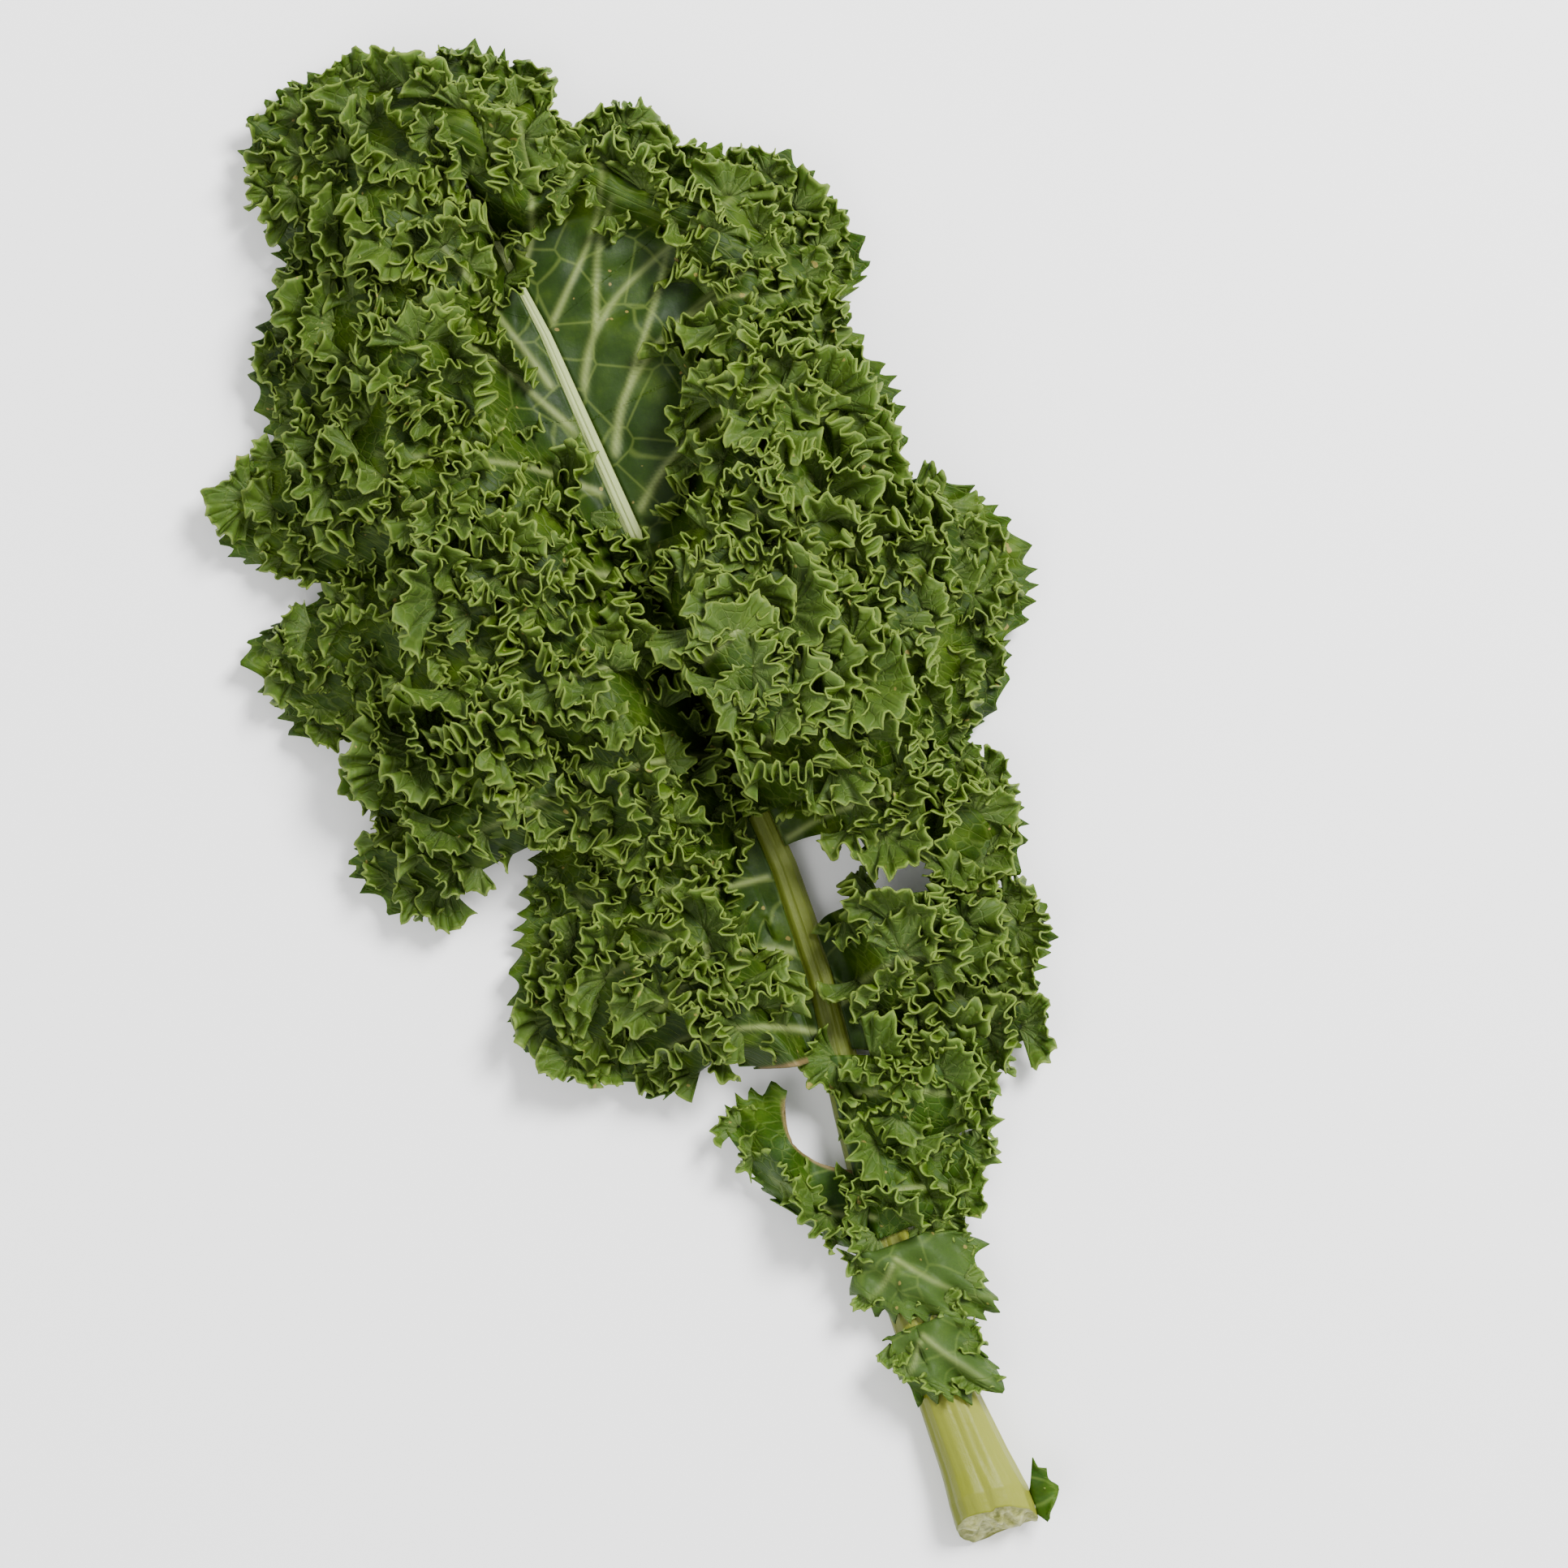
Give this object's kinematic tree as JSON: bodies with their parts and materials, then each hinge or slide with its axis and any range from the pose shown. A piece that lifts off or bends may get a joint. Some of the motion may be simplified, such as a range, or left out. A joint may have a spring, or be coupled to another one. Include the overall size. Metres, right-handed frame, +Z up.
{
  "type": "curly kale leaf",
  "caption": "Curly kale leaf lying on its back: bare torn stalk running on as a pale midrib, with tightly ruffled lobes along both sides and small leaflets folded over the stalk.",
  "frame": {"origin": "on the ground under the middle of the leaf's bounding box", "axes": "+Y from the torn stalk end to the leaf tip, +Z up out of the upper side of the leaf, +X to the right seen from above with the tip away"},
  "size_m": [0.1522, 0.3164, 0.0412],
  "materials": {
    "blade": "waxy, finely veined",
    "young_blade": "waxy, thin and bright",
    "rib": "smooth, moist and ribbed lengthwise"
  },
  "bodies": {
    "root": {"stalk": "rib", "left_torn_lobe": "blade", "left_broad_lobe": "blade", "left_lower_lobe": "blade", "left_small_lobe": "blade", "left_middle_lobe": "blade", "left_upper_lobe": "blade", "left_shoulder_lobe": "blade", "left_top_lobe": "blade", "tip_lobe": "blade", "right_top_lobe": "blade", "right_shoulder_lobe": "blade", "right_upper_lobe": "blade", "right_middle_lobe": "blade", "right_small_lobe": "blade", "right_lower_lobe": "blade", "right_broad_lobe": "blade", "right_yellow_lobe": "young_blade", "right_first_lobe": "young_blade", "upper_leaflet": "young_blade", "lower_leaflet": "young_blade", "basal_ear": "young_blade"}
  },
  "joints": []
}
